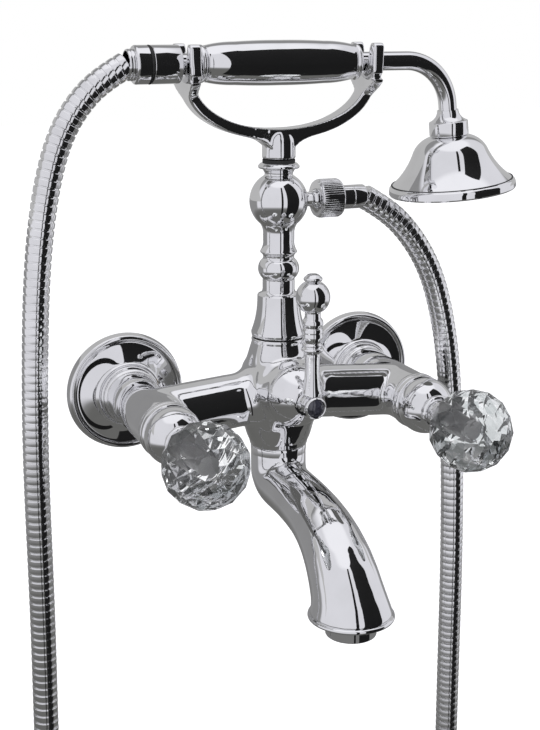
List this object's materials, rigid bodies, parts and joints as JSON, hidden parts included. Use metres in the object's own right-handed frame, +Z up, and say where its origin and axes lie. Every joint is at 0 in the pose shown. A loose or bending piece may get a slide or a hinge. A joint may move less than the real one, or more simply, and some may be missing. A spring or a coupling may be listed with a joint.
{
  "type": "wall mounted bath and shower mixer",
  "caption": "Chrome wall mounted bath mixer with faceted crystal knobs, diverter lever, swivel spout, cradle, telephone style hand shower and metal hose.",
  "frame": {"origin": "on the wall plane, midway between the two water inlets", "axes": "+Z up, +Y into the wall, +X to the right seen from the front"},
  "size_m": [0.2957, 0.1965, 0.7039],
  "materials": {
    "chrome": "polished plating",
    "crystal": "cut and polished",
    "rubber": "moulded black",
    "brass": "turned",
    "ceramic_valve": "ceramic disc cartridge in a plastic shell",
    "dark_glass": "polished dark cap",
    "hose_steel": "plated interlocked strip",
    "steel": "stainless",
    "nozzle_plastic": "moulded",
    "spray_face": "plated plate with spray holes"
  },
  "bodies": {
    "fixture": {"hot_wall_flange": "chrome", "cold_wall_flange": "chrome", "hot_wall_union": "brass", "cold_wall_union": "brass", "hot_union_nut": "chrome", "cold_union_nut": "chrome", "union_washers": "rubber", "mixer_body": "chrome", "hot_cartridge": "ceramic_valve", "cold_cartridge": "ceramic_valve", "hot_bonnet": "chrome", "cold_bonnet": "chrome", "diverter_cartridge": "ceramic_valve", "diverter_bonnet": "chrome", "riser_gasket": "rubber", "riser_column": "chrome", "cradle_pivot": "brass", "cradle_seal_ring": "rubber", "cradle_clip": "steel", "riser_hose_nut": "chrome", "riser_hose_washer": "rubber", "riser_hose_ferrule": "chrome", "supply_hose_run": "hose_steel", "spout_bush": "brass", "spout_seal_rings": "rubber"},
    "hot_knob": {"hot_spindle": "brass", "hot_knob_cup": "chrome", "hot_knob_post": "steel", "hot_crystal_knob": "crystal"},
    "cold_knob": {"cold_spindle": "brass", "cold_knob_cup": "chrome", "cold_knob_post": "steel", "cold_crystal_knob": "crystal"},
    "diverter_handle": {"diverter_spindle": "brass", "diverter_hub": "chrome", "diverter_screw": "steel", "diverter_cap": "dark_glass", "diverter_lever": "chrome", "lever_finial": "chrome"},
    "swivel_spout": {"spout": "chrome", "spout_grub_screw": "steel", "aerator_housing": "chrome", "aerator_insert": "nozzle_plastic", "aerator_washer": "rubber"},
    "cradle": {"cradle": "chrome"},
    "handset": {"handle_grip": "chrome", "grip_liner": "brass", "head_collar": "chrome", "tail_collar": "chrome", "neck_tube": "chrome", "tail_connector": "chrome", "tail_seal_ring": "rubber", "handset_hose_nut": "chrome", "handset_hose_ferrule": "chrome", "handset_hose_run": "hose_steel", "head_nut": "chrome", "shower_bell": "chrome", "spray_gasket": "rubber", "spray_plate": "spray_face"}
  },
  "joints": [
    {"name": "hot_turn", "type": "hinge", "parent": "fixture", "child": "hot_knob", "pos_m": [-0.075, -0.146, 0], "axis": [0, 1, 0], "range_deg": [0, 90]},
    {"name": "cold_turn", "type": "hinge", "parent": "fixture", "child": "cold_knob", "pos_m": [0.075, -0.146, 0], "axis": [0, 1, 0], "range_deg": [-90, 0]},
    {"name": "diverter_swing", "type": "hinge", "parent": "fixture", "child": "diverter_handle", "pos_m": [0, -0.1, 0.011], "axis": [0, 1, 0], "range_deg": [-45, 45]},
    {"name": "spout_swivel", "type": "hinge", "parent": "fixture", "child": "swivel_spout", "pos_m": [0, -0.057, -0.024], "axis": [0, 0, 1], "range_deg": [-60, 60]},
    {"name": "cradle_swivel", "type": "hinge", "parent": "fixture", "child": "cradle", "pos_m": [0, -0.057, 0.14], "axis": [0, 0, 1], "range_deg": [-30, 10]},
    {"name": "handset_lift", "type": "slide", "parent": "cradle", "child": "handset", "axis": [0, 0, 1], "range_m": [0, 0.07]}
  ]
}
